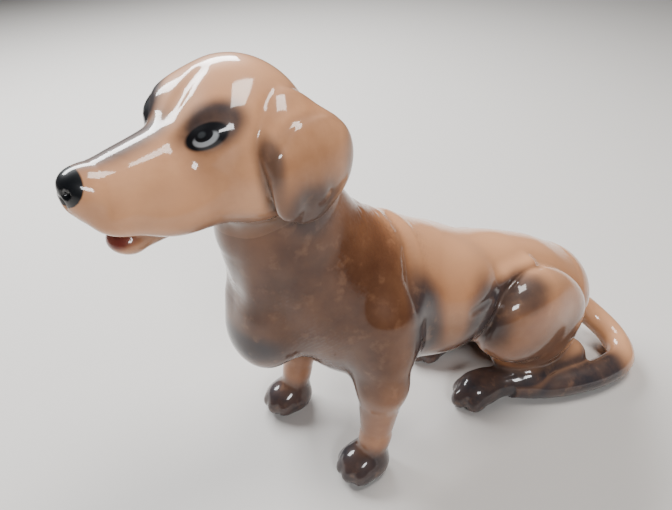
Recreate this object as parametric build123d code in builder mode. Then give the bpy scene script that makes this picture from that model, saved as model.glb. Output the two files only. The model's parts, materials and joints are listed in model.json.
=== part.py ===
"""Glazed ceramic figurine of a seated hound, built from hollow and solid slip castings.

Millimetres.  The dog faces -Y, +X is its left side and +Z is up.  The castings are laid out from
the point on the table under the front of the chest; before export they all move together so that the origin
is the middle of the footprint at the level of the table.
"""
import os
from math import cos, radians, sin

from build123d import *

os.makedirs("parts", exist_ok=True)

# ------------------------------------------------------------------ driving dimensions
wall = 3.0                    # thickness of the slip-cast shells

# trunk, measured back from the chest and up from the table
rump_reach = 104.0            # back end of the trunk
rump_height = 16.0
croup_depth = 40.0            # full height of the trunk over the hips
croup_width = 40.0
loin_width = 37.0             # the narrow waist in front of the thighs
loin_depth = 35.0
loin_height = 42.6            # middle of the loin above the table
rib_width = 41.0
rib_depth = 41.0
rib_height = 48.6
shoulder_width = 43.0
shoulder_depth = 46.0
shoulder_height = 53.6

# neck and head
neck_base_width = 31.0
neck_base_depth = 37.0
neck_width = 25.5
neck_depth = 30.0
joint_drop = 16.5             # where head and neck castings meet, below the middle of the skull
joint_lean = 70.0             # degrees between the joint's upward normal and straight ahead
head_turn = 18.0              # degrees, the head looks a little to its left
neck_axis_y = -12.0           # the turning axis of the head
skull_height = 105.1          # middle of the skull above the table
skull_width = 36.0
skull_depth = 32.5
muzzle_reach = 43.5           # nose tip ahead of the neck axis
muzzle_width = 15.5
muzzle_depth = 16.5
muzzle_drop = 2.5             # middle of the muzzle below the middle of the skull
jaw_width = 13.0
jaw_depth = 7.0
jaw_drop = 14.0               # lower jaw below the middle of the skull

# ears
ear_length = 26.0
ear_width = 20.0
ear_thickness = 6.0
ear_inset = 0.5               # middle of the ear inside the widest part of the skull
ear_root_rise = 12.5          # top of the ear above the middle of the skull
ear_setback = -4.0            # middle of the ear behind the neck axis

# front legs
paw_spacing = 34.0
paw_row_y = 2.0
paw_stagger = 3.9             # the left paw stands this far back, the right one as far forward
foreleg_rise = 2.0            # top of the leg casting above the middle of the shoulder
elbow_width = 16.5
elbow_depth = 20.0
wrist_width = 10.5
wrist_depth = 11.5
front_paw_width = 15.0
front_paw_length = 21.0

# back legs
thigh_length = 52.0
thigh_depth = 38.0
thigh_slope = 34.0            # degrees, the knee is up and the buttock is down
thigh_setback = 37.0          # middle of the thigh ahead of the rump's end
thigh_height = 29.6
thigh_root = 8.0              # inner face of the thigh, inside the trunk
thigh_outer = 24.0            # outer face of the thigh from the trunk's middle plane
hind_foot_x = 12.5            # middle of the hind paw from the trunk's middle plane
hind_paw_setback = 50.5       # hind paw ahead of the rump's end
hind_paw_width = 13.0
hind_paw_height = 11.0
hock_setback = 14.0           # hock ahead of the rump's end
hock_x = 16.5
hock_thickness = 10.0

# tail
tail_root_thickness = 10.5
tail_tip_thickness = 4.5
# bends and tip of the tail: to the left, back from the rump's end, up from the table
tail_bends = [(6.5, 7.5, 11.0), (16.0, 9.5, 6.6), (25.5, 4.5, 4.8), (29.0, -8.0, 4.5)]
tail_tip = (24.6, -34.0, 2.8)

# firing vent under the loin
vent_radius = 2.0
vent_place = 0.38             # along the trunk from the chest to the rump

# ------------------------------------------------------------------ what follows from them
joint_height = skull_height - joint_drop
muzzle_height = skull_height - muzzle_drop
jaw_height = skull_height - jaw_drop
ear_root_height = skull_height + ear_root_rise
ear_spread = skull_width / 2 - ear_inset
foreleg_height = shoulder_height + foreleg_rise
rib_y = rump_reach * 0.27
loin_y = rump_reach * 0.44
croup_y = rump_reach * 0.635
vent_y = rump_reach * vent_place
thigh_y = rump_reach - thigh_setback
hind_paw_y = rump_reach - hind_paw_setback
hock_y = rump_reach - hock_setback

# ------------------------------------------------------------------ shared geometry


def trunk_plane(y, height, lean):
    """A plane across the trunk; lean turns it from facing backwards (0) to facing down (90)."""
    tilt = radians(lean)
    return Plane(origin=(0, y, height), x_dir=(1, 0, 0), z_dir=(0, cos(tilt), -sin(tilt)))


def head_plane(reach, height, droop=0.0, aside=0.0):
    """A plane across the turned head, reach ahead of the neck axis."""
    turn = radians(head_turn)
    dip = radians(droop)
    left = Vector(cos(turn), sin(turn), 0)
    ahead = Vector(sin(turn), -cos(turn), 0)
    origin = Vector(0, neck_axis_y, height) + ahead * reach + left * aside
    return Plane(origin=origin, x_dir=left, z_dir=ahead * cos(dip) - Vector(0, 0, sin(dip)))


def lofted(stations, inset=0.0):
    """A solid lofted through ellipses given as (plane, width, depth), shrunk all round by inset.

    Each ellipse is four quarter arcs, so that the loft joins quarter to quarter without twisting.
    """
    with BuildPart() as body:
        for plane, width, depth in stations:
            with BuildSketch(plane):
                with BuildLine():
                    for quarter in range(4):
                        EllipticalCenterArc(
                            (0, 0), width / 2 - inset, depth / 2 - inset, quarter * 90, arc_size=90
                        )
                make_face()
        loft()
    return body.part


# Ellipses across the trunk from the top of the neck to the rump: (plane, width, depth).
trunk_stations = [
    (trunk_plane(-13, joint_height + 8, 85), neck_width - 0.5, neck_depth - 1),
    (trunk_plane(-10, joint_height - 3, 80), neck_width, neck_depth + 1),
    (trunk_plane(-5, shoulder_height + 20, 72), neck_base_width, neck_base_depth),
    (trunk_plane(3, shoulder_height + 8, 58), shoulder_width - 3, shoulder_depth - 1),
    (trunk_plane(13, shoulder_height, 38), shoulder_width, shoulder_depth),
    (trunk_plane(rib_y, rib_height, 18), rib_width, rib_depth),
    (trunk_plane(loin_y, loin_height, 15), loin_width, loin_depth),
    (trunk_plane(croup_y, (rump_height + 10 + loin_height) / 2, 18), croup_width, croup_depth),
    (trunk_plane(rump_reach - 18, rump_height + 10, 18), croup_width, croup_depth),
    (trunk_plane(rump_reach - 9, rump_height + 5.5, 12), croup_width * 0.86, croup_depth * 0.86),
    (trunk_plane(rump_reach - 3.5, rump_height + 3, 6), croup_width * 0.62, croup_depth * 0.62),
    (trunk_plane(rump_reach, rump_height, 0), tail_root_thickness + 1.5, tail_root_thickness + 1.5),
]

# Ellipses across the head from the back of the skull to the nose.
skull_stations = [
    (head_plane(-15, skull_height - 0.5), 9.0, 11.0),
    (head_plane(-11, skull_height), skull_width * 0.66, skull_depth * 0.70),
    (head_plane(-3, skull_height), skull_width * 0.97, skull_depth),
    (head_plane(8, skull_height, 4), skull_width, skull_depth),
    (head_plane(18, skull_height - 0.5, 8), skull_width * 0.86, skull_depth * 0.88),
    (head_plane(26, muzzle_height + 0.5, 8), muzzle_width * 1.3, muzzle_depth * 1.22),
    (head_plane(34, muzzle_height, 4), muzzle_width, muzzle_depth),
    (head_plane(muzzle_reach - 4, muzzle_height + 1), muzzle_width * 0.8, muzzle_depth * 0.8),
    (head_plane(muzzle_reach, muzzle_height + 3, -10), muzzle_width * 0.45, muzzle_depth * 0.4),
]

# The outer skins, and the hollows left inside the two shell castings.
trunk_skin = lofted(trunk_stations)
skull_skin = lofted(skull_stations)
trunk_cavity = lofted(trunk_stations[:-1], wall)
skull_cavity = lofted(skull_stations[1:-2], wall)
neck_joint = Plane(
    origin=(0, neck_axis_y, joint_height),
    x_dir=(1, 0, 0),
    z_dir=(0, -cos(radians(joint_lean)), sin(radians(joint_lean))),
)

# The trunk and the head are poured as hollow shells from one continuous form, cut at the neck.
# A small vent under the loin lets the hollow be fired.
with BuildPart() as shell:
    add(trunk_skin)
    add(skull_skin)
    add(trunk_cavity, mode=Mode.SUBTRACT)
    add(skull_cavity, mode=Mode.SUBTRACT)

with BuildPart() as torso:
    add(shell.part)
    split(bisect_by=neck_joint, keep=Keep.BOTTOM)
    with Locations((0, vent_y, loin_height - loin_depth / 2)):
        Cylinder(vent_radius, 4 * wall, mode=Mode.SUBTRACT)

with BuildPart() as head:
    add(shell.part)
    split(bisect_by=neck_joint, keep=Keep.TOP)

# Ears: leaf-shaped flaps that hang beside the skull and are fitted to its skin.


def ear_skin(side):
    """One hanging ear, side +1 for the left of the dog and -1 for its right."""
    tip_height = ear_root_height - ear_length
    rows = [
        (ear_root_height, -3.0, -1.5, 0.35, 0.45),
        (ear_root_height - ear_length * 0.12, -1.0, 0.0, 0.85, 0.72),
        (ear_root_height - ear_length * 0.40, 1.0, 0.8, 1.0, 1.0),
        (ear_root_height - ear_length * 0.72, 2.0, 1.0, 0.95, 0.98),
        (tip_height + ear_length * 0.06, 1.0, 1.2, 0.7, 0.62),
        (tip_height, 0.0, 1.2, 0.25, 0.25),
    ]
    stations = []
    for height, back, out, thick, broad in rows:
        place = head_plane(-ear_setback - back, height, 0, side * (ear_spread + out))
        level = Plane(origin=place.origin, x_dir=place.x_dir, z_dir=(0, 0, -1))
        stations.append((level, ear_thickness * thick, ear_width * broad))
    return lofted(stations)


with BuildPart() as left_ear:
    add(ear_skin(1))
    add(skull_skin, mode=Mode.SUBTRACT)
    add(trunk_skin, mode=Mode.SUBTRACT)

with BuildPart() as right_ear:
    add(ear_skin(-1))
    add(skull_skin, mode=Mode.SUBTRACT)
    add(trunk_skin, mode=Mode.SUBTRACT)

# Lower jaw: a tapering bar under the muzzle, fitted to the head and to the throat.
jaw_stations = [
    (head_plane(4, jaw_height + 2.5, -6), jaw_width * 1.3, jaw_depth * 1.2),
    (head_plane(16, jaw_height + 1.5, -4), jaw_width * 1.25, jaw_depth * 1.2),
    (head_plane(28, jaw_height + 1), jaw_width, jaw_depth),
    (head_plane(muzzle_reach - 8, jaw_height + 1), jaw_width * 0.8, jaw_depth * 0.8),
    (head_plane(muzzle_reach - 5, jaw_height + 1), jaw_width * 0.45, jaw_depth * 0.45),
]
jaw_skin = lofted(jaw_stations)

with BuildPart() as lower_jaw:
    add(jaw_skin)
    add(skull_skin, mode=Mode.SUBTRACT)
    add(trunk_skin, mode=Mode.SUBTRACT)

# Forelegs: upright columns that swell into the shoulder and end in paws cut flat on the table.


def level_plane(x, y, height):
    """A horizontal plane facing down."""
    return Plane(origin=(x, y, height), x_dir=(1, 0, 0), z_dir=(0, 0, -1))


def table_cut(below):
    """A block reaching down from the table, to cut flat whatever dips under it."""
    return Pos(0, 40, -below / 2) * Box(200, 300, below)


def foreleg_skin(side):
    """One foreleg with its paw, side +1 for the left of the dog and -1 for its right."""
    x = side * paw_spacing / 2
    paw_y = paw_row_y + side * paw_stagger
    shoulder_x = side * (shoulder_width - elbow_width) / 2
    column = [
        (level_plane(shoulder_x, 9, foreleg_height), elbow_width * 0.6, elbow_depth),
        (level_plane(shoulder_x + side * 2, 8.5, foreleg_height * 0.75), elbow_width * 1.05, elbow_depth),
        (level_plane((shoulder_x + 2 * x) / 3 + side, 7.5, foreleg_height * 0.55), elbow_width * 0.9, elbow_depth * 0.85),
        (level_plane(x, paw_y * 0.6 + 4, foreleg_height * 0.32), wrist_width * 1.1, wrist_depth * 1.1),
        (level_plane(x, paw_y + 2.8, foreleg_height * 0.16), wrist_width, wrist_depth),
        (level_plane(x, paw_y + 2.4, 2.0), wrist_width * 1.15, wrist_depth * 1.1),
    ]
    paw = [
        (paw_plane(x, paw_y + front_paw_length * 0.42, 4.0), front_paw_width * 0.5, 6.0),
        (paw_plane(x, paw_y + front_paw_length * 0.2, 4.6), front_paw_width * 0.85, 11.0),
        (paw_plane(x, paw_y - front_paw_length * 0.1, 4.4), front_paw_width, 11.5),
        (paw_plane(x, paw_y - front_paw_length * 0.38, 3.6), front_paw_width * 0.85, 8.4),
        (paw_plane(x, paw_y - front_paw_length * 0.5, 2.8), front_paw_width * 0.4, 4.0),
    ]
    return lofted(column), lofted(paw)


def paw_plane(x, y, height):
    """An upright plane across a paw, facing forwards."""
    return Plane(origin=(x, y, height), x_dir=(1, 0, 0), z_dir=(0, -1, 0))


floor_block = table_cut(20)
left_column, left_paw = foreleg_skin(1)
right_column, right_paw = foreleg_skin(-1)

with BuildPart() as left_foreleg:
    add(left_column)
    add(left_paw)
    add(trunk_skin, mode=Mode.SUBTRACT)
    add(floor_block, mode=Mode.SUBTRACT)

with BuildPart() as right_foreleg:
    add(right_column)
    add(right_paw)
    add(trunk_skin, mode=Mode.SUBTRACT)
    add(floor_block, mode=Mode.SUBTRACT)

# Thighs: thick discs on the sides of the trunk, knee up and forwards, buttock down and back.


def thigh_skin(side):
    """One folded thigh, side +1 for the left of the dog and -1 for its right."""
    slope = radians(thigh_slope)
    stations = []
    for turn in (0, 20, 40, 58, 74, 84):
        out = thigh_root + (thigh_outer - thigh_root) * sin(radians(turn))
        shrink = cos(radians(turn))
        place = Plane(
            origin=(side * out, thigh_y, thigh_height),
            x_dir=(0, cos(slope), -sin(slope)),
            z_dir=(side, 0, 0),
        )
        stations.append((place, thigh_length * shrink, thigh_depth * shrink))
    return lofted(stations)


left_thigh_skin = thigh_skin(1)
right_thigh_skin = thigh_skin(-1)

with BuildPart() as left_thigh:
    add(left_thigh_skin)
    add(trunk_skin, mode=Mode.SUBTRACT)
    add(floor_block, mode=Mode.SUBTRACT)

with BuildPart() as right_thigh:
    add(right_thigh_skin)
    add(trunk_skin, mode=Mode.SUBTRACT)
    add(floor_block, mode=Mode.SUBTRACT)


# Tail: leaves the rump, curls round to the left and lies forwards along the table to the foot.
tail_root = (0, rump_reach, rump_height)
tail_points = [(x, rump_reach + y, z) for x, y, z in tail_bends + [tail_tip]]
tail_curve = Spline(tail_root, *tail_points, tangents=[(0.1, 1, -0.1), (-0.3, -1, -0.02)])
tail_steps = 8


def tail_form():
    """A round tapering tail lofted along its curve."""
    stations = []
    for step in range(tail_steps + 1):
        along = step / tail_steps
        size = tail_root_thickness + (tail_tip_thickness - tail_root_thickness) * along
        heading = Vector(0, 1, 0) if step == 0 else tail_curve % along
        sideways = heading.cross(Vector(0, 0, 1))
        place = Plane(origin=tail_curve @ along, x_dir=sideways, z_dir=heading)
        stations.append((place, size, size))
    return lofted(stations)


tail_skin = tail_form()

# Hind feet: the long bone from hock to paw lies on the table under the thigh.


def hind_foot_skin(side):
    """One hind foot, side +1 for the left of the dog and -1 for its right."""
    middle_x = (hind_foot_x + hock_x) / 2 + 1
    middle_y = (hind_paw_y + hock_y) / 2
    stations = [
        (paw_plane(side * hock_x, hock_y + 3, 5.0), hock_thickness * 0.4, hock_thickness * 0.4),
        (paw_plane(side * hock_x, hock_y, 5.0), hock_thickness * 0.8, hock_thickness * 0.9),
        (paw_plane(side * middle_x, middle_y, 4.4), hock_thickness, hock_thickness),
        (paw_plane(side * (hind_foot_x + 1), hind_paw_y + 8, 4.4), hock_thickness * 1.05, hock_thickness),
        (paw_plane(side * hind_foot_x, hind_paw_y, 4.8), hind_paw_width, hind_paw_height),
        (paw_plane(side * hind_foot_x, hind_paw_y - 4, 4.2), hind_paw_width * 0.85, hind_paw_height * 0.85),
        (paw_plane(side * hind_foot_x, hind_paw_y - 6.5, 3.2), hind_paw_width * 0.4, hind_paw_height * 0.4),
    ]
    return lofted(stations)


left_foot_skin = hind_foot_skin(1)
right_foot_skin = hind_foot_skin(-1)

with BuildPart() as left_hind_foot:
    add(left_foot_skin)
    add(left_thigh_skin, mode=Mode.SUBTRACT)
    add(trunk_skin, mode=Mode.SUBTRACT)
    add(floor_block, mode=Mode.SUBTRACT)

with BuildPart() as right_hind_foot:
    add(right_foot_skin)
    add(right_thigh_skin, mode=Mode.SUBTRACT)
    add(trunk_skin, mode=Mode.SUBTRACT)
    add(floor_block, mode=Mode.SUBTRACT)

# The tail stands on the flat end of the rump.
with BuildPart() as tail:
    add(tail_skin)
    add(floor_block, mode=Mode.SUBTRACT)

pieces = {
    "torso": torso,
    "head": head,
    "lower_jaw": lower_jaw,
    "left_ear": left_ear,
    "right_ear": right_ear,
    "left_foreleg": left_foreleg,
    "right_foreleg": right_foreleg,
    "left_thigh": left_thigh,
    "right_thigh": right_thigh,
    "left_hind_foot": left_hind_foot,
    "right_hind_foot": right_hind_foot,
    "tail": tail,
}

# The origin is the middle of the footprint, on the table.
footprint = Compound(children=[Part() + piece.part for piece in pieces.values()]).bounding_box()
to_origin = Location((-footprint.center().X, -footprint.center().Y, -footprint.min.Z))

for name, piece in pieces.items():
    piece.part.label = name
    export_step(piece.part.moved(to_origin), f"parts/{name}.step")
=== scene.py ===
"""Glazed ceramic figurine of a seated hound, painted under a clear gloss glaze.

The body is sculpted as one distance field, in millimetres: smooth unions of swept tubes, tapered
bones and rounded masses, with carved folds.  It is meshed once, so that the glaze runs without a
step over the joints, and then parted along the joints of the castings into closed pieces that
stand for the CAD nodes.
"""
import json
from concurrent.futures import ThreadPoolExecutor
from math import cos, radians, sin

import bpy
import numpy as np
from mathutils import Matrix, Vector


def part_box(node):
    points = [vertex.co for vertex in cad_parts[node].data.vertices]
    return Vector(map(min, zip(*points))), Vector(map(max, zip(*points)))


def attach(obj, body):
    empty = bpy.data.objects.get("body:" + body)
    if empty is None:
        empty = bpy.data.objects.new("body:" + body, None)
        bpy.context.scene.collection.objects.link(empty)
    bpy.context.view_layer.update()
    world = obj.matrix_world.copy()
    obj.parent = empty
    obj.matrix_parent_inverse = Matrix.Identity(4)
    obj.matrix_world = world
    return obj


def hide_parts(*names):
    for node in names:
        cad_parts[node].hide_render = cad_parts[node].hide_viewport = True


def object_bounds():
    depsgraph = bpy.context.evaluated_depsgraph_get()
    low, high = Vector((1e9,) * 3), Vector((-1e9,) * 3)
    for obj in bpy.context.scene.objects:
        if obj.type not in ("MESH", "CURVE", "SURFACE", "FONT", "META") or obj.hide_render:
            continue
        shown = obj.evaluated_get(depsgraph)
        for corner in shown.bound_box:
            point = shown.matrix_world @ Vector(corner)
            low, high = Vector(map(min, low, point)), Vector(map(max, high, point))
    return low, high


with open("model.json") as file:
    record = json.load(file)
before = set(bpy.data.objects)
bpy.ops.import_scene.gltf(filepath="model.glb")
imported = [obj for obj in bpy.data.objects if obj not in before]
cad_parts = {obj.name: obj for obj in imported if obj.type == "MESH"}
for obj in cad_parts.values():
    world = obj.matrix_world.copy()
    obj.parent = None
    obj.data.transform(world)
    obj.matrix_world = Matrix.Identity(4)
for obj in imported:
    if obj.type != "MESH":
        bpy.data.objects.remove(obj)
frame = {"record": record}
cad_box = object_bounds()
MM = 0.001

# ------------------------------------------------------------------ places taken from the frame


def node_box(name):
    """A CAD node's lowest and highest corners in millimetres."""
    low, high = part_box(name)
    return np.array(low) / MM, np.array(high) / MM


left_side = node_box("left_thigh")[1][0]
right_side = node_box("right_thigh")[0][0]
rump_end = node_box("torso")[1][1]
cad_low = np.array(cad_box[0]) / MM
cad_high = np.array(cad_box[1]) / MM

# The sculpture is laid out in millimetres from a point on the table in the trunk's middle plane,
# RUMP_REACH ahead of the flat end of the rump.
RUMP_REACH = 104.0
ORIGIN = np.array([(left_side + right_side) / 2, rump_end - RUMP_REACH, 0.0])

HEAD_TURN = 18.0
NECK_AXIS = np.array([0.0, -12.0, 0.0])
GRID_STEP = 0.6

# ------------------------------------------------------------------ distance-field vocabulary


def blend_min(a, b, k):
    """Union of two fields with a fillet about k wide."""
    h = np.clip(0.5 + 0.5 * (b - a) / k, 0, 1)
    return b + (a - b) * h - k * h * (1 - h)


def blend_max(a, b, k):
    """Intersection of two fields with a fillet about k wide."""
    return -blend_min(-a, -b, k)


def smoothstep(x, low, high):
    """0 below low, 1 above high, and a smooth rise between."""
    t = np.clip((x - low) / (high - low), 0, 1)
    return t * t * (3 - 2 * t)


def turned(axis, degrees):
    """Rotation matrix whose columns are the turned axes."""
    return np.array(Matrix.Rotation(radians(degrees), 3, axis))


def egg(p, centre, radii, turn=None):
    """Ellipsoid, turned by an optional matrix."""
    q = p - np.array(centre, float)
    if turn is not None:
        q = q @ turn
    r = np.array(radii, float)
    near = np.linalg.norm(q / r, axis=1)
    slope = np.linalg.norm(q / (r * r), axis=1)
    return near * (near - 1) / np.maximum(slope, 1e-9)


def bone(p, start, end, start_radius, end_radius):
    """Tapered capsule."""
    a = np.array(start, float)
    axis = np.array(end, float) - a
    length2 = axis @ axis
    taper = start_radius - end_radius
    slant2 = length2 - taper * taper
    offset = p - a
    y = offset @ axis
    z = y - length2
    x2 = ((offset * length2 - np.outer(y, axis)) ** 2).sum(1)
    y2 = y * y * length2
    z2 = z * z * length2
    k = np.sign(taper) * taper * taper * x2
    side = (np.sqrt(x2 * slant2 / length2) + y * taper) / length2 - start_radius
    tip = np.sqrt(x2 + z2) / length2 - end_radius
    root = np.sqrt(x2 + y2) / length2 - start_radius
    return np.where(np.sign(z) * slant2 * z2 > k, tip, np.where(np.sign(y) * slant2 * y2 < k, root, side))


def smooth_rows(rows, steps):
    """Catmull-Rom curve through rows of any width."""
    rows = np.array(rows, float)
    rows = np.vstack([2 * rows[0] - rows[1], rows, 2 * rows[-1] - rows[-2]])
    t = np.linspace(0, 1, steps, endpoint=False)[:, None]
    spans = []
    for i in range(1, len(rows) - 2):
        a, b, c, d = rows[i - 1:i + 3]
        cubic = (-a + 3 * b - 3 * c + d) * t ** 3 + (2 * a - 5 * b + 4 * c - d) * t * t
        spans.append(0.5 * (2 * b + (c - a) * t + cubic))
    spans.append(rows[-2:-1])
    return np.vstack(spans)


def tube(p, rows, side=(1, 0, 0), steps=10):
    """Swept elliptical tube; rows are x, y, z, half-width along side, half-depth across it."""
    s = smooth_rows(rows, steps)
    middle = s[:, :3]
    along = np.gradient(middle, axis=0)
    along /= np.linalg.norm(along, axis=1)[:, None]
    across = np.array(side, float) - (along @ np.array(side, float))[:, None] * along
    across /= np.linalg.norm(across, axis=1)[:, None]
    deep = np.cross(along, across)
    nearest = np.zeros(len(p), int)
    best = np.full(len(p), 1e18)
    for i in range(len(middle)):
        q = p - middle[i]
        d = (q * q).sum(1)
        closer = d < best
        best[closer] = d[closer]
        nearest[closer] = i
    i = np.clip(nearest, 1, len(middle) - 2)
    span = middle[i + 1] - middle[i - 1]
    t = np.clip(((p - middle[i - 1]) * span).sum(1) / (span * span).sum(1), 0, 1) * 2
    low = np.where(t < 1, i - 1, i)
    part = np.where(t < 1, t, t - 1)[:, None]
    high = np.minimum(low + 1, len(middle) - 1)

    def mixed(a):
        return a[low] * (1 - part) + a[high] * part

    q = p - mixed(middle)
    size = mixed(s[:, 3:5])
    small = size.min(1)
    u = (q * mixed(across)).sum(1) / size[:, 0]
    v = (q * mixed(deep)).sum(1) / size[:, 1]
    w = (q * mixed(along)).sum(1) / small
    near = np.sqrt(u * u + v * v + w * w)
    slope = np.sqrt((u / size[:, 0]) ** 2 + (v / size[:, 1]) ** 2 + (w / small) ** 2)
    return near * (near - 1) / np.maximum(slope, 1e-9)


def within(p, low, high, shape, far=25.0):
    """Evaluates shape only inside a box, and says far everywhere else."""
    out = np.full(len(p), far)
    inside = ((p > np.array(low)) & (p < np.array(high))).all(1)
    if inside.any():
        out[inside] = shape(p[inside])
    return out


def to_head(p):
    """Dog coordinates to the turned head's: x left, y back from the neck axis, z up."""
    turn = radians(HEAD_TURN)
    q = p - NECK_AXIS
    across = q[:, 0] * cos(turn) + q[:, 1] * sin(turn)
    back = q[:, 1] * cos(turn) - q[:, 0] * sin(turn)
    return np.stack([across, back, q[:, 2]], 1)


def mirrored(p, side):
    """Folds a right-hand shape onto its left-hand description."""
    return p * np.array([side, 1, 1])


# ------------------------------------------------------------------ the parts of the dog

# x, y, z, half-width and half-depth along the trunk, from the rump up to the neck
TRUNK = [
    (0, 87, 29, 18, 17.5),
    (0, 74, 34, 19.5, 19.5),
    (0, 60, 41, 19, 18.5),
    (0, 46, 47, 18.5, 17.5),
    (0, 30, 52.5, 20, 20),
    (0, 15, 58, 20.5, 22.5),
    (0, 4, 66, 18.5, 21.5),
    (0, -4, 77, 15, 18.5),
    (0, -9, 89, 12.5, 15.5),
]


def coin(p, centre, radii, turn, power=3.0):
    """Thick rounded disc: radii are half-thickness along x, then the two half-lengths of its face."""
    q = (p - np.array(centre, float)) @ turn / np.array(radii, float)
    face = np.hypot(q[:, 1], q[:, 2])
    return ((np.abs(q[:, 0]) ** power + face ** power) ** (1 / power) - 1) * min(radii)


# groove behind the shoulder, from the withers down to the elbow
SHOULDER_LINE = [
    (1.0, 21.5, 82.0, 1.0, 1.0),
    (9.5, 21.5, 79.0, 1.4, 1.4),
    (16.5, 18.5, 73.0, 1.6, 1.6),
    (20.8, 16.5, 65.0, 1.5, 1.5),
    (22.3, 15.5, 55.0, 1.2, 1.2),
    (21.5, 16.0, 47.0, 0.8, 0.8),
]


# groove of the flank, between the belly's skin fold and the top of the thigh
FLANK_LINE = [
    (21.5, 37.0, 55.0, 0.5, 0.5),
    (20.0, 46.0, 55.5, 0.9, 0.9),
    (17.6, 56.0, 54.5, 1.0, 1.0),
    (15.2, 66.0, 52.6, 0.9, 0.9),
    (13.0, 72.0, 51.2, 0.5, 0.5),
]


def trunk(p):
    """Body and neck, with shoulders, ribs, breast and the carved folds."""
    body = tube(p, TRUNK, steps=16)
    body = blend_min(body, bone(p, (0, -9.5, 86), (0, -11, 99), 13.2, 12.0), 3)
    for side in (1, -1):
        q = mirrored(p, side)
        blade = bone(q, (9.5, 12, 69), (13.0, 11.5, 52), 8.0, 9.8)
        body = blend_min(body, blade, 3)
        rib = egg(q, (9, 36, 51), (11.3, 15, 15), turned("X", -18))
        body = blend_min(body, rib, 5)
        tendon = bone(q, (7, -17, 96), (5.5, -16.5, 68), 3.4, 4.6)
        body = blend_min(body, tendon, 2.5)
    fold = bone(p, (14.0, 54, 55.0), (11.0, 67, 52.8), 2.2, 2.4)
    body = blend_min(body, fold, 4)
    breast = egg(p, (0, -15.5, 58.5), (11.5, 9, 12))
    body = blend_min(body, breast, 6)
    keel = egg(p, (0, 15, 46.5), (14, 17, 15))
    body = blend_min(body, keel, 6)
    m = np.abs(p) * [1, 0, 0] + p * [0, 1, 1]
    body = blend_max(body, -tube(m, SHOULDER_LINE), 3.0)
    return blend_max(body, -tube(p, FLANK_LINE), 2.2)


NOSE = (0, -40.6, 113.2)  # in head coordinates


def skull_base(h):
    """Head without ears, eyes and lower jaw, in head coordinates."""
    m = np.abs(h) * [1, 0, 0] + h * [0, 1, 1]
    form = egg(h, (0, -5.3, 109.9), (15.8, 14.0, 15.6))
    form = blend_min(form, egg(h, (0, -9, 112.5), (12.5, 12.5, 13.5)), 5)
    form = blend_min(form, egg(m, (7.4, -14.2, 116.3), (5.0, 6.6, 5.2)), 5)
    form = blend_min(form, egg(m, (10.0, -9.5, 105.8), (6.0, 9.5, 8.0)), 5)
    muzzle = tube(h, [
        (0, -13, 108, 12.3, 12.0),
        (0, -21, 108.8, 9.8, 9.6),
        (0, -28, 109.4, 8.0, 7.9),
        (0, -34, 110.1, 6.6, 6.4),
        (0, -38.0, 110.9, 5.4, 5.2),
    ])
    form = blend_min(form, muzzle, 4)
    flew = egg(m, (3.6, -32.8, 106.0), (3.9, 7.6, 4.0), turned("X", -8))
    form = blend_min(form, flew, 3)
    form = blend_min(form, egg(m, (6.4, -22.5, 104.6), (4.8, 9.5, 5.2)), 4)
    nose = egg(h, NOSE, (3.0, 2.7, 2.5), turned("X", 20))
    return blend_min(form, nose, 1.6)


def surface_spot(field, inside, through):
    """The point where the ray from inside through a second point leaves the form, and its axes there."""
    start = np.array(inside, float)
    heading = np.array(through, float) - start
    heading /= np.linalg.norm(heading)
    ray = start + heading * np.linspace(0, 30, 3001)[:, None]
    spot = ray[np.argmax(field(ray) > 0)]
    nudge = np.eye(3) * 0.3
    out = np.array([(field((spot + n)[None]) - field((spot - n)[None]))[0] for n in nudge])
    out /= np.linalg.norm(out)
    ahead = np.array([-0.68, -0.62, -0.39])
    ahead -= out * (ahead @ out)
    ahead /= np.linalg.norm(ahead)
    return spot, np.stack([out, ahead, np.cross(ahead, out)], 1)


EYE_SPOT, EYE_AXES = surface_spot(skull_base, (0, -14, 112), (9.7, -20.7, 118.0))


def skull(h):
    """Head with eyes, nostrils and furrows."""
    m = np.abs(h) * [1, 0, 0] + h * [0, 1, 1]
    form = skull_base(h)
    nostril = egg(m, (1.6, -43.0, 112.8), (0.6, 0.8, 0.5))
    form = blend_max(form, -nostril, 0.5)
    philtrum = bone(h, (0, -43.2, 111.5), (0, -41.0, 104.5), 0.4, 0.4)
    form = blend_max(form, -philtrum, 0.8)
    furrow = bone(h, (0, -22.5, 121.2), (0, -14.5, 126.6), 1.1, 0.9)
    form = blend_max(form, -furrow, 2.4)
    out = EYE_AXES[:, 0]
    socket = egg(m, EYE_SPOT + out * 1.4, (1.8, 5.0, 3.4), EYE_AXES)
    form = blend_max(form, -socket, 2.4)
    ball = egg(m, EYE_SPOT - out * 2.4, (2.4, 4.0, 2.6), EYE_AXES)
    return blend_min(form, ball, 0.8)


def jaw(h):
    """Lower jaw, in head coordinates."""
    m = h * [0.8, 1, 1]
    form = bone(m, (0, -12, 103), (0, -33.0, 99.6), 5.6, 2.9)
    return blend_min(form, egg(h, (0, -34.2, 99.6), (3.9, 3.3, 2.5)), 1.5)


def ear(h):
    """The left ear, in head coordinates."""
    upper = egg(h, (14.4, -4.6, 114.0), (3.2, 8.4, 8.4), turned("Y", -24))
    lower = egg(h, (17.9, -3.6, 106.8), (2.5, 9.2, 9.6), turned("Y", -5))
    back = egg(h, (17.2, 2.2, 109.3), (2.4, 5.8, 6.6), turned("Y", -8))
    form = blend_min(blend_min(upper, lower, 5), back, 4)
    front_roll = bone(h, (15.6, -11.0, 112.5), (18.4, -10.4, 102.5), 1.2, 1.5)
    form = blend_min(form, front_roll, 3)
    fold = bone(h, (16.6, -5.5, 115.0), (20.0, -4.0, 104), 0.8, 0.9)
    return blend_min(form, fold, 2.8)


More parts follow.
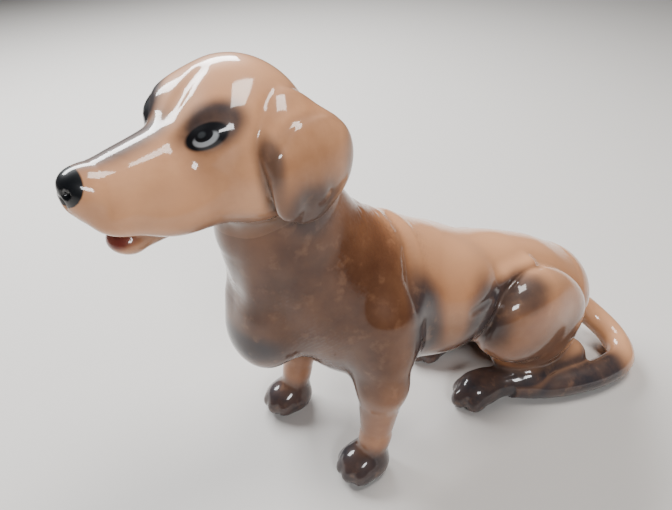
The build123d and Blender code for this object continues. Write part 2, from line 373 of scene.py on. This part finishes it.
def foreleg(p, elbow):
    """The left foreleg and paw, seen from the paw's own place, as is its elbow."""
    x, y = elbow
    column = bone(p, (x - 3.5, y + 2, 55), (x, y + 0.5, 35), 9.0, 6.7)
    column = blend_min(column, bone(p, (x, y + 0.5, 35), (x * 0.25, 3.2, 14), 6.7, 4.2), 3)
    column = blend_min(column, bone(p, (x * 0.25, 3.2, 14), (0, 1.8, 5), 4.2, 4.9), 2)
    paw = egg(p, (0, -0.4, 4.1), (6.5, 7.6, 5.6), turned("X", -8))
    column = blend_min(column, paw, 2.5)
    for x, y, r in ((-4.1, -3.4, 2.5), (-1.5, -5.0, 2.9), (1.6, -5.0, 2.9), (4.2, -3.4, 2.5)):
        toe = egg(p, (x, y, 3.4), (r * 0.9, r * 1.25, r * 1.15))
        column = blend_min(column, toe, 0.9)
    return column


def thigh(p):
    """The left thigh: a rounded disc, knee up and forwards."""
    disc = coin(p, (11.5, 69, 36.0), (12.8, 22.5, 16.5), turned("X", -30))
    knee = coin(p, (12, 59.5, 40.5), (12.2, 13.5, 13.0), turned("X", -30))
    under = egg(p, (11, 77, 19), (9.0, 17, 11))
    return blend_min(blend_min(disc, knee, 6), under, 6)


def hind_foot(p):
    """The left hind foot on the table."""
    form = bone(p, (18.0, 88, 7.6), (17.5, 70, 6.6), 6.4, 5.8)
    form = blend_min(form, bone(p, (17.5, 70, 6.6), (13.5, 58, 5.2), 5.8, 5.1), 3)
    form = blend_min(form, egg(p, (12.8, 53.0, 4.7), (6.4, 7.4, 5.7)), 3)
    for x, y, r in ((8.6, 50.2, 2.7), (12.2, 47.6, 3.3), (16.4, 49.8, 2.9)):
        form = blend_min(form, egg(p, (x, y, 3.2), (r * 0.95, r * 1.3, r * 1.15)), 1.0)
    return form


# x, y, z, half-width and half-depth along the tail, from the rump to the tip
TAIL = [
    (1.5, 99, 19.6, 5.2, 5.2),
    (8.0, 108.5, 11.5, 4.6, 4.6),
    (18.5, 111.3, 6.4, 4.5, 4.5),
    (26.8, 106.0, 4.9, 4.7, 4.7),
    (28.2, 95.0, 4.9, 4.8, 4.8),
    (25.8, 82.0, 4.8, 4.7, 4.7),
    (21.6, 71.0, 4.8, 4.3, 4.5),
    (16.8, 62.0, 4.8, 3.2, 3.6),
]


def tail(p):
    """The tail, curled round to the left and lying on the table."""
    return tube(p, TAIL, side=(0, 0, 1), steps=12)


LEFT_PAW = (17.2, 6.0, 0.0)
RIGHT_PAW = (-16.8, -1.8, 0.0)
LEFT_ELBOW = (0.8, 3.5)
RIGHT_ELBOW = (0.8, 7.5)
# trunk, head and thighs are laid out this far above where they sit
BODY_DROP = np.array([0.0, 0.0, 4.4])
# and the right thigh lies lower still
RIGHT_THIGH_DROP = np.array([0.0, 0.0, 3.0])


def part_fields(p):
    """Distance to every part of the dog, by name."""
    body = p + BODY_DROP
    h = to_head(body)
    head_low, head_high = (-26, -50, 86), (26, 22, 132)

    def both(shape, low, high, q, side):
        return within(mirrored(q, side), low, high, shape)

    def left_leg(q):
        return foreleg(q - LEFT_PAW, LEFT_ELBOW)

    def right_leg(q):
        return foreleg((q - RIGHT_PAW) * [-1, 1, 1], RIGHT_ELBOW)

    return {
        "torso": trunk(body),
        "head": within(h, head_low, head_high, skull),
        "lower_jaw": within(h, head_low, (26, 4, 112), jaw),
        "left_ear": both(ear, (5, -22, 90), (30, 18, 130), h, 1),
        "right_ear": both(ear, (5, -22, 90), (30, 18, 130), h, -1),
        "left_foreleg": within(p, (0, -20, -5), (36, 32, 72), left_leg),
        "right_foreleg": within(p, (-38, -28, -5), (0, 30, 72), right_leg),
        "left_thigh": both(thigh, (-8, 26, -2), (34, 104, 68), body, 1),
        "right_thigh": both(thigh, (-8, 26, -2), (34, 104, 68), body + RIGHT_THIGH_DROP, -1),
        "left_hind_foot": both(hind_foot, (0, 38, -5), (30, 102, 22), p, 1),
        "right_hind_foot": both(hind_foot, (0, 38, -5), (30, 102, 22), p, -1),
        "tail": within(p, (-12, 62, -5), (42, 126, 38), tail),
    }


# width of the fillet where each part meets the body
JOIN = {
    "head": 4.0, "lower_jaw": 1.2, "left_ear": 2.6, "right_ear": 2.6,
    "left_foreleg": 5.0, "right_foreleg": 5.0, "left_thigh": 1.2, "right_thigh": 1.2,
    "left_hind_foot": 1.6, "right_hind_foot": 1.6, "tail": 2.2,
}
VENT_Y = 40.0
VENT_RADIUS = 2.0
VENT_MIDDLE = 26.0
VENT_HALF_DEPTH = 9.0
CREASE_WIDTH = 1.3
CREASE_DEPTH = 0.7


def whole(p):
    """Distance to the finished figurine."""
    parts = part_fields(p)
    form = parts["torso"]
    ahead = smoothstep(-to_head(p)[:, 1], 3, 9)
    ear_crease = CREASE_DEPTH * ahead
    crease = {
        "left_thigh": CREASE_DEPTH, "right_thigh": CREASE_DEPTH,
        "left_ear": ear_crease, "right_ear": ear_crease,
    }
    for name, k in JOIN.items():
        depth = crease.get(name, 0) * np.exp(-((form - parts[name]) / CREASE_WIDTH) ** 2)
        form = blend_min(form, parts[name], k) + depth
    bore = np.hypot(p[:, 0], p[:, 1] - VENT_Y) - VENT_RADIUS
    vent = np.maximum(bore, np.abs(p[:, 2] - VENT_MIDDLE) - VENT_HALF_DEPTH)
    form = blend_max(form, -vent, 0.8)
    return np.maximum(form, -p[:, 2])


def evaluate(field, p, chunk=60000):
    """field over many points, on all processors."""
    spans = [p[i:i + chunk] for i in range(0, len(p), chunk)]
    with ThreadPoolExecutor(4) as pool:
        return np.concatenate(list(pool.map(field, spans)))


def gradient(field, p, step=0.2):
    """The field's slope along each axis."""
    g = np.empty_like(p)
    for axis in range(3):
        nudge = np.zeros(3)
        nudge[axis] = step
        g[:, axis] = (evaluate(field, p + nudge) - evaluate(field, p - nudge)) / (2 * step)
    return g


# ------------------------------------------------------------------ meshing


def surface_net(field, low, high, step, block=4):
    """Quads along the field's zero level, from a narrow band of grid points."""
    low = np.array(low, float)
    blocks = np.ceil((np.array(high) - low) / (step * block)).astype(int)
    axes = [low[i] + step * block * (np.arange(blocks[i]) + 0.5) for i in range(3)]
    centres = np.stack(np.meshgrid(*axes, indexing="ij"), -1).reshape(-1, 3)
    coarse = evaluate(field, centres).reshape(blocks)
    n = blocks * block + 1

    def spread(a):
        for axis in range(3):
            a = np.repeat(a, block, axis)
        return np.pad(a, ((0, 1),) * 3, mode="edge")

    values = np.where(spread(coarse) > 0, 1e3, -1e3).astype(np.float32)
    band = spread(np.abs(coarse) < step * block * 1.25)
    for axis in range(3):
        band |= np.roll(band, 1, axis)
    index = np.argwhere(band)
    values[tuple(index.T)] = evaluate(field, low + index * step)
    outside = values > 0
    count = np.zeros(tuple(n - 1), np.int8)
    corners = [(a, b, c) for a in (0, 1) for b in (0, 1) for c in (0, 1)]
    for a, b, c in corners:
        count += outside[a:n[0] - 1 + a, b:n[1] - 1 + b, c:n[2] - 1 + c]
    cells = np.argwhere((count > 0) & (count < 8))
    number = -np.ones(tuple(n - 1), np.int64)
    number[tuple(cells.T)] = np.arange(len(cells))
    total = np.zeros((len(cells), 3))
    hits = np.zeros(len(cells))
    for axis in range(3):
        for corner in corners:
            if corner[axis]:
                continue
            other = list(corner)
            other[axis] = 1
            f0 = values[tuple((cells + corner).T)]
            f1 = values[tuple((cells + other).T)]
            cross = (f0 > 0) != (f1 > 0)
            point = (cells[cross] + corner).astype(float)
            point[:, axis] += f0[cross] / (f0[cross] - f1[cross])
            total[cross] += point
            hits[cross] += 1
    verts = low + step * total / hits[:, None]
    quads = []
    for axis in range(3):
        inner = [slice(1, n[i] - 1) for i in range(3)]
        inner[axis] = slice(0, n[axis] - 1)
        shifted = list(inner)
        shifted[axis] = slice(1, n[axis])
        here = outside[tuple(inner)]
        edges = np.argwhere(here != outside[tuple(shifted)])
        flip = here[tuple(edges.T)]
        base = edges + [inner[i].start for i in range(3)]
        u = np.eye(3, dtype=int)[(axis + 1) % 3]
        v = np.eye(3, dtype=int)[(axis + 2) % 3]
        ring = np.stack([number[tuple((base - s).T)] for s in (0 * u, u, u + v, v)], 1)
        ring[flip] = ring[flip][:, ::-1]
        quads.append(ring)
    return verts, np.vstack(quads)


def settle(field, verts, rounds=3, most=0.5):
    """Moves vertices onto the zero level."""
    for _ in range(rounds):
        g = gradient(field, verts)
        move = (evaluate(field, verts) / np.maximum((g * g).sum(1), 0.1))[:, None] * g
        length = np.linalg.norm(move, axis=1)
        verts = verts - move * np.minimum(1, most / np.maximum(length, 1e-9))[:, None]
    return verts


def triangles_of(verts, quads):
    """Splits quads along their shorter diagonal."""
    a, b, c, d = (verts[quads[:, i]] for i in range(4))
    first = (np.linalg.norm(a - c, axis=1) < np.linalg.norm(b - d, axis=1))[:, None]
    one = np.where(first, quads[:, [0, 1, 2]], quads[:, [0, 1, 3]])
    two = np.where(first, quads[:, [0, 2, 3]], quads[:, [1, 2, 3]])
    return np.vstack([one, two])


def part_by(verts, tris, level):
    """Cuts the triangles along level = 0. Returns the grown vertices, the triangles below, those above."""
    level = np.where(np.abs(level) < 1e-3, 1e-3, level)
    below = level < 0
    sign = below[tris]
    kind = sign.sum(1)
    inside = tris[kind == 3]
    outside = tris[kind == 0]
    mixed = tris[(kind == 1) | (kind == 2)]
    if not len(mixed):
        return verts, inside, outside
    s = below[mixed]
    lone = np.where(s.sum(1) == 1, np.argmax(s, 1), np.argmin(s, 1))
    rows = np.arange(len(mixed))
    a, b, c = (mixed[rows, (lone + i) % 3] for i in range(3))
    pairs = np.sort(np.vstack([np.stack([a, b], 1), np.stack([a, c], 1)]), 1)
    edges, where = np.unique(pairs, axis=0, return_inverse=True)
    where = where.reshape(-1)
    t = level[edges[:, 0]] / (level[edges[:, 0]] - level[edges[:, 1]])
    new = verts[edges[:, 0]] * (1 - t)[:, None] + verts[edges[:, 1]] * t[:, None]
    ab = len(verts) + where[:len(a)]
    ac = len(verts) + where[len(a):]
    tip = np.stack([a, ab, ac], 1)
    rest = np.vstack([np.stack([ab, b, c], 1), np.stack([ab, c, ac], 1)])
    tip_in = below[a]
    rest_in = np.concatenate([~tip_in, ~tip_in])
    inside = np.vstack([inside, tip[tip_in], rest[rest_in]])
    outside = np.vstack([outside, tip[~tip_in], rest[~rest_in]])
    return np.vstack([verts, new]), inside, outside


def islands(tris, size):
    """An island number for every triangle."""
    label = np.arange(size)
    while True:
        low = label[tris].min(1)
        after = label.copy()
        for i in range(3):
            np.minimum.at(after, tris[:, i], low)
        after = after[after]
        if (after == label).all():
            return label[tris[:, 0]]
        label = after


def main_island(tris, size):
    """The largest island, and everything else."""
    label = islands(tris, size)
    names, counts = np.unique(label, return_counts=True)
    big = label == names[np.argmax(counts)]
    return tris[big], tris[~big]


def capped(verts, tris):
    """Closes every open rim with a fan to its middle."""
    edges = np.vstack([tris[:, [0, 1]], tris[:, [1, 2]], tris[:, [2, 0]]])
    have = set(map(tuple, edges.tolist()))
    follow = {b: a for a, b in have if (b, a) not in have}
    fans = []
    middles = []
    while follow:
        start = next(iter(follow))
        loop = [start]
        step = follow.pop(start)
        while step != start and step in follow:
            loop.append(step)
            step = follow.pop(step)
        middle = len(verts) + len(middles)
        middles.append(verts[loop].mean(0))
        fans += [(loop[i], loop[(i + 1) % len(loop)], middle) for i in range(len(loop))]
    if not fans:
        return verts, tris
    return np.vstack([verts, middles]), np.vstack([tris, np.array(fans)])


# ------------------------------------------------------------------ pieces

ORDER = [
    "left_ear", "right_ear", "lower_jaw", "tail", "left_hind_foot", "right_hind_foot",
    "left_foreleg", "right_foreleg", "left_thigh", "right_thigh",
]
NECK_JOINT = np.array([0.0, -12.0, 89.6])
NECK_LEAN = 70.0


def cut_pieces(verts, tris):
    """Parts the skin into the castings: {name: (verts, tris)}."""
    normal = np.array([0, -cos(radians(NECK_LEAN)), sin(radians(NECK_LEAN))])
    found = {}
    verts, rest, head = part_by(verts, tris, (verts - NECK_JOINT) @ normal)
    for name in ORDER:
        near = part_fields(verts)
        mine = near.pop(name)
        level = mine - np.min(list(near.values()), axis=0)
        source = head if name in ("left_ear", "right_ear", "lower_jaw") else rest
        verts, inside, outside = part_by(verts, source, level)
        keep, crumbs = main_island(inside, len(verts))
        outside = np.vstack([outside, crumbs])
        found[name] = keep
        if source is head:
            head = outside
        else:
            rest = outside
    found["head"] = head
    found["torso"] = rest
    return verts, found


def spray(p, centre, radii, edge=0.55):
    """A soft-edged patch, 1 in the middle and 0 outside; most are airbrushed colour, one is painted shade
    under the ears.
    """
    q = (p - np.array(centre, float)) / np.array(radii, float)
    return 1 - smoothstep(np.linalg.norm(q, axis=1), 1 - edge, 1 + edge * 0.4)


def layered(*patches):
    """Sprays over each other."""
    bare = 1.0
    for patch in patches:
        bare = bare * (1 - patch)
    return 1 - bare


def paint_masks(p, normal):
    """Where each colour goes, from 0 to 1, by name: mostly airbrushed colours, with painted shade in the
    creases and on the neck under the ears, and painted light on the up-facing back.
    """
    b = p + BODY_DROP
    h = to_head(b)
    m = np.abs(b) * [1, 0, 0] + b * [0, 1, 1]
    g = np.abs(h) * [1, 0, 0] + h * [0, 1, 1]
    parts = part_fields(p)
    # crease: painted shade in the creases and folds, partly the glaze pooled there; it grows as a step out
    # along the normal stays closer to the form
    crease = np.clip((1.8 - evaluate(whole, p + normal * 1.8)) / 1.8, 0, 1)
    on_head = smoothstep(h[:, 2] + 0.35 * -h[:, 1], 96, 104)
    eye = (g - EYE_SPOT) @ EYE_AXES
    lid_up = np.linalg.norm((eye - [0, -2.0, 1.6]) / [6, 7.2, 4.6], axis=1)
    tail_near = smoothstep(-parts["tail"], -1.0, 0.0)
    tail_dark = tail_near * smoothstep(-p[:, 1], -107, -97)
    paw = smoothstep(-p[:, 2], -15.5, -8.5) * (p[:, 1] < 35)
    foot = smoothstep(-p[:, 2], -15.0, -10.5) * (p[:, 1] > 35) * (np.abs(p[:, 0]) > 4)
    grey = layered(
        0.92 * spray(m, (21.5, 20.5, 57), (9, 7.0, 21)),
        0.92 * spray(m, (19, 43.0, 49), (9, 9.0, 15)),
        0.60 * spray(m, (19, 52, 54.5), (6, 12, 4.0)),
        0.75 * spray(m, (20, 56, 53), (11, 11, 6)),
        0.92 * spray(b, (4, -22, 58.5), (16, 10, 5.5)),
        0.50 * spray(m, (0, 20, 34), (16, 30, 9)),
        0.97 * spray(h, (-1.2, -31.5, 117.6), (5.4, 14.5, 4.6)),
        0.97 * (1 - smoothstep(lid_up, 0.6, 1.25)),
        0.80 * spray(g, (20.0, -6.0, 101.5), (7, 9, 7)),
        0.55 * spray(g, (19.0, 6.0, 106), (5, 4, 9)),
        0.75 * spray(g, (17.0, -12.6, 112.0), (3.5, 2.2, 10)),
        # painted shade on the neck under each ear
        0.65 * spray(g, (16.0, 1.0, 95.0), (9, 10, 7)),
        0.95 * paw, 0.95 * foot * (1 - tail_near), 0.95 * tail_dark,
    )
    # back: painted light from above on the up-facing surfaces behind the withers, laid over the back's
    # paler glaze
    back = smoothstep(normal[:, 2], 0.25, 0.85) * smoothstep(p[:, 1], 14, 26)
    tail_cream = tail_near * (1 - smoothstep(-p[:, 1], -107, -97))
    pale = layered(
        0.85 * back, tail_cream,
        0.8 * spray(g, (0, -4, 126), (15, 16, 8)), 0.5 * spray(g, (0, -19, 121), (5, 7, 5)),
        0.35 * spray(m, (22, 31, 56), (6, 5, 14)), 0.5 * spray(g, (8, -28, 108), (6, 10, 6)),
    )
    brown = layered(
        0.97 * spray(b, (0, -10, 80), (30, 28, 26)), 0.93 * spray(b, (0, -4, 50), (34, 32, 38)),
        0.85 * spray(m, (15, 8, 62), (16, 20, 24)),
        0.8 * spray(m, (24, 70, 27), (12, 26, 15)), 0.7 * spray(g, (8, -18, 97), (12, 22, 7)),
        0.85 * spray(m, (20, 32, 44), (11, 30, 15)), 0.45 * spray(g, (18, -4, 106), (6, 10, 12)),
    )
    mouth = layered(
        spray(g, (0, -37.5, 101.0), (5.2, 6.5, 2.4), 0.4) * (parts["lower_jaw"] < parts["head"] + 0.6),
        0.6 * spray(g, (0, -39.0, 104.6), (4.2, 5.0, 3.0)),
    )
    nose = 1 - smoothstep(np.linalg.norm((h - NOSE - [0, -0.6, -0.2]) / [3.9, 3.9, 3.4], axis=1), 0.85, 1.1)
    return {
        "crease": crease * 0.9, "grey": grey, "pale": pale, "brown": brown, "mouth": mouth, "nose": nose,
        "eye_across": eye[:, 1], "eye_up": eye[:, 2], "eye_near": 1 - smoothstep(np.abs(eye[:, 0]), 3, 5),
    }


def build_piece(name, verts, tris, material):
    """One closed casting as a mesh, with its paint masks, in place of its CAD node."""
    used, flat = np.unique(tris, return_inverse=True)
    tris = flat.reshape(-1, 3)
    verts, tris = capped(verts[used], tris)
    normal = gradient(whole, verts)
    normal /= np.maximum(np.linalg.norm(normal, axis=1), 1e-9)[:, None]
    mesh = bpy.data.meshes.new(name)
    world = (verts + ORIGIN) * MM
    mesh.vertices.add(len(world))
    mesh.vertices.foreach_set("co", world.ravel())
    mesh.loops.add(len(tris) * 3)
    mesh.loops.foreach_set("vertex_index", tris.ravel().astype(np.int32))
    mesh.polygons.add(len(tris))
    mesh.polygons.foreach_set("loop_start", np.arange(0, len(tris) * 3, 3, dtype=np.int32))
    mesh.polygons.foreach_set("use_smooth", np.ones(len(tris), bool))
    mesh.update()
    mesh.validate()
    mesh.normals_split_custom_set_from_vertices([tuple(v) for v in normal])
    masks = paint_masks(verts, normal)
    for mask_name, values in masks.items():
        layer = mesh.attributes.new(mask_name, "FLOAT", "POINT")
        layer.data.foreach_set("value", values.astype(np.float32))
    piece = bpy.data.objects.new("skin_" + name, mesh)
    bpy.context.scene.collection.objects.link(piece)
    piece.data.materials.append(material)
    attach(piece, "root")
    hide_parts(name)
    return piece


class Graph:
    """Short forms for building a material's nodes."""

    def __init__(self, material):
        material.use_nodes = True
        self.tree = material.node_tree
        self.shader = self.tree.nodes["Principled BSDF"]

    def node(self, kind, **settings):
        made = self.tree.nodes.new(kind)
        for key, value in settings.items():
            setattr(made, key, value)
        return made

    def feed(self, socket, value):
        if hasattr(value, "links") or hasattr(value, "is_output"):
            self.tree.links.new(value, socket)
        else:
            socket.default_value = value

    def mask(self, name):
        return self.node("ShaderNodeAttribute", attribute_name=name).outputs["Fac"]

    def math(self, operation, a, b=0.0, clamp=False):
        made = self.node("ShaderNodeMath", operation=operation, use_clamp=clamp)
        self.feed(made.inputs[0], a)
        self.feed(made.inputs[1], b)
        return made.outputs[0]

    def noise(self, scale, detail=3.0, roughness=0.55):
        place = self.node("ShaderNodeTexCoord").outputs["Object"]
        made = self.node("ShaderNodeTexNoise")
        self.feed(made.inputs["Vector"], place)
        made.inputs["Scale"].default_value = scale
        made.inputs["Detail"].default_value = detail
        made.inputs["Roughness"].default_value = roughness
        return made.outputs["Fac"]

    def mix(self, amount, under, over):
        made = self.node("ShaderNodeMix", data_type="RGBA")
        self.feed(made.inputs[0], amount)
        self.feed(made.inputs[6], under)
        self.feed(made.inputs[7], over)
        return made.outputs[2]

    def ramp(self, value, low, high):
        made = self.node("ShaderNodeMapRange", interpolation_type="SMOOTHSTEP")
        self.feed(made.inputs["Value"], value)
        made.inputs["From Min"].default_value = low
        made.inputs["From Max"].default_value = high
        return made.outputs["Result"]


BODY_TANS = ((0.46, 0.205, 0.095, 1), (0.36, 0.150, 0.068, 1))
HEAD_TANS = ((0.70, 0.350, 0.180, 1), (0.58, 0.270, 0.130, 1))
BROWN = (0.058, 0.020, 0.009, 1)
PEACH = (0.70, 0.355, 0.185, 1)
GREY = (0.030, 0.028, 0.034, 1)
# painted shade in the creases and folds, partly glaze pooled there
CREASE_SHADE_AND_POOL = (0.060, 0.036, 0.026, 1)
NOSE_BLACK = (0.006, 0.007, 0.009, 1)
LIP = (0.16, 0.028, 0.022, 1)
EYE_BLACK = (0.006, 0.006, 0.008, 1)
# grey of the painted glint high in each pupil
EYE_GLINT_GREY = (0.05, 0.055, 0.06, 1)
EYE_LIGHT = (0.36, 0.38, 0.40, 1)


def glaze(name, with_face):
    """Airbrushed underglaze colours, with painted shade in the creases and under the ears, painted light on
    the up-facing back and a painted glint in each eye, under a clear gloss.
    """
    material = bpy.data.materials.new(name)
    graph = Graph(material)
    mottle = graph.noise(90.0, 4.0)
    streak = graph.noise(260.0, 3.0)
    wobble = graph.math("MULTIPLY", graph.math("SUBTRACT", mottle, 0.5), 0.5)
    colour = graph.mix(graph.ramp(mottle, 0.35, 0.70), *(HEAD_TANS if with_face else BODY_TANS))

    def paint_over(mask, under, over, strength=1.0):
        loose = graph.math("ADD", graph.mask(mask), graph.math("MULTIPLY", wobble, graph.mask(mask)))
        return graph.mix(graph.math("MULTIPLY", loose, strength, clamp=True), under, over)

    colour = paint_over("brown", colour, BROWN, 0.9)
    colour = paint_over("pale", colour, PEACH, 0.85)
    colour = paint_over("grey", colour, GREY, 0.97)
    # painted shade laid into the creases and folds, partly glaze pooled there
    colour = paint_over("crease", colour, CREASE_SHADE_AND_POOL, 0.85)
    colour = graph.mix(graph.math("MULTIPLY", graph.ramp(streak, 0.55, 0.75), 0.10), colour, PEACH)
    if with_face:
        colour = paint_over("mouth", colour, LIP)
        colour = graph.mix(graph.ramp(graph.mask("nose"), 0.35, 0.65), colour, NOSE_BLACK)
        across = graph.mask("eye_across")
        up = graph.mask("eye_up")
        elsewhere = graph.math("MULTIPLY", graph.math("SUBTRACT", 1.0, graph.mask("eye_near")), 5.0)

        def oval(centre_across, centre_up, half_across, half_up):
            x = graph.math("DIVIDE", graph.math("SUBTRACT", across, centre_across), half_across)
            y = graph.math("DIVIDE", graph.math("SUBTRACT", up, centre_up), half_up)
            squares = graph.math("ADD", graph.math("MULTIPLY", x, x), graph.math("MULTIPLY", y, y))
            return graph.math("ADD", graph.math("SQRT", squares), elsewhere)

        colour = graph.mix(graph.ramp(oval(0, 0, 4.2, 2.2), 1.10, 0.88), colour, EYE_BLACK)
        rim = graph.ramp(oval(0.2, -0.25, 2.5, 1.30), 1.12, 0.88)
        low_half = graph.ramp(up, 0.7, -0.3)
        colour = graph.mix(graph.math("MULTIPLY", rim, low_half), colour, EYE_LIGHT)
        colour = graph.mix(graph.ramp(oval(0.2, 0.20, 1.75, 0.95), 1.12, 0.9), colour, EYE_BLACK)
        # painted glint: a small grey spot high in the pupil
        colour = graph.mix(graph.ramp(oval(0.5, 0.5, 0.75, 0.5), 1.4, 0.6), colour, EYE_GLINT_GREY)
    graph.feed(graph.shader.inputs["Base Color"], colour)
    graph.shader.inputs["Roughness"].default_value = 0.45
    graph.shader.inputs["Specular IOR Level"].default_value = 0.15
    graph.shader.inputs["Coat Weight"].default_value = 1.0
    graph.shader.inputs["Coat Roughness"].default_value = 0.075
    graph.shader.inputs["Coat IOR"].default_value = 1.5
    bump = graph.node("ShaderNodeBump")
    bump.inputs["Strength"].default_value = 0.12
    bump.inputs["Distance"].default_value = 0.0004
    graph.feed(bump.inputs["Height"], graph.noise(140.0, 2.0))
    graph.feed(graph.shader.inputs["Normal"], bump.outputs["Normal"])
    return material


# ------------------------------------------------------------------ sculpture
MARGIN = 4.0
low = cad_low - ORIGIN - MARGIN
high = cad_high - ORIGIN + MARGIN
verts, quads = surface_net(whole, low, high, GRID_STEP)
verts = settle(whole, verts)
verts[:, 2] = np.maximum(verts[:, 2], 0)
skin, _ = main_island(triangles_of(verts, quads), len(verts))
verts, castings = cut_pieces(verts, skin)
slots = {s["node"]: s["material_slot"] for s in frame["record"]["subparts"]}
paints = {
    "body_glaze": glaze("body_paint", False),
    "head_glaze": glaze("head_paint", True),
    "mouth_glaze": glaze("mouth_paint", True),
}
for name, tris in castings.items():
    build_piece(name, verts, tris, paints[slots[name]])

# ------------------------------------------------------------------ floor, lights and camera
middle = Vector([(a + b) / 2 for a, b in zip(*cad_box)])

FLOOR_REACH = 1.5
FLOOR_COLOUR = (0.60, 0.575, 0.55, 1)
floor_mesh = bpy.data.meshes.new("floor")
corners = [(x * FLOOR_REACH, y * FLOOR_REACH, 0) for x, y in ((-1, -1), (1, -1), (1, 1), (-1, 1))]
floor_mesh.from_pydata(corners, [], [(0, 1, 2, 3)])
floor = bpy.data.objects.new("floor", floor_mesh)
bpy.context.scene.collection.objects.link(floor)
floor_paint = bpy.data.materials.new("floor_paint")
floor_paint.use_nodes = True
floor_shader = floor_paint.node_tree.nodes["Principled BSDF"]
floor_shader.inputs["Base Color"].default_value = FLOOR_COLOUR
floor_shader.inputs["Roughness"].default_value = 0.7
floor_mesh.materials.append(floor_paint)

# name, place, width and height, watts, colour
LIGHTS = [
    ("window", (-0.44, -0.06, 0.40), (0.56, 0.17), 8.0, (0.97, 0.99, 1.0)),
    ("ceiling", (0.02, 0.14, 0.60), (0.26, 0.20), 3.0, (1.0, 0.97, 0.93)),
    ("fill", (0.56, -0.16, 0.46), (0.20, 0.14), 2.6, (0.97, 0.98, 1.0)),
]
for name, place, size, power, colour in LIGHTS:
    data = bpy.data.lights.new(name, "AREA")
    data.shape = "RECTANGLE"
    data.size, data.size_y = size
    data.energy = power
    data.color = colour
    lamp = bpy.data.objects.new(name, data)
    lamp.location = place
    lamp.rotation_euler = (middle - Vector(place)).to_track_quat("-Z", "Y").to_euler()
    bpy.context.scene.collection.objects.link(lamp)

SKY_COLOUR = (0.8, 0.82, 0.85, 1)
SKY_STRENGTH = 0.06
world = bpy.data.worlds.new("studio")
world.use_nodes = True
world.node_tree.nodes["Background"].inputs[0].default_value = SKY_COLOUR
world.node_tree.nodes["Background"].inputs[1].default_value = SKY_STRENGTH
bpy.context.scene.world = world

PITCH = radians(34.9)
HEADING = radians(30.0)
CAMERA_PLACE = np.array([109.4, -57.1, 155.6])
camera_data = bpy.data.cameras.new("photo_view")
camera_data.lens = 32.2
camera_data.sensor_width = 36.0
camera_data.clip_start = 0.01
camera = bpy.data.objects.new("photo_view", camera_data)
camera.location = Vector((CAMERA_PLACE + ORIGIN) * MM)
forward = Vector((-cos(PITCH) * cos(HEADING), cos(PITCH) * sin(HEADING), -sin(PITCH)))
camera.rotation_euler = forward.to_track_quat("-Z", "Y").to_euler()
bpy.context.scene.collection.objects.link(camera)
bpy.context.scene.camera = camera
bpy.context.scene.render.resolution_x = 672
bpy.context.scene.render.resolution_y = 510
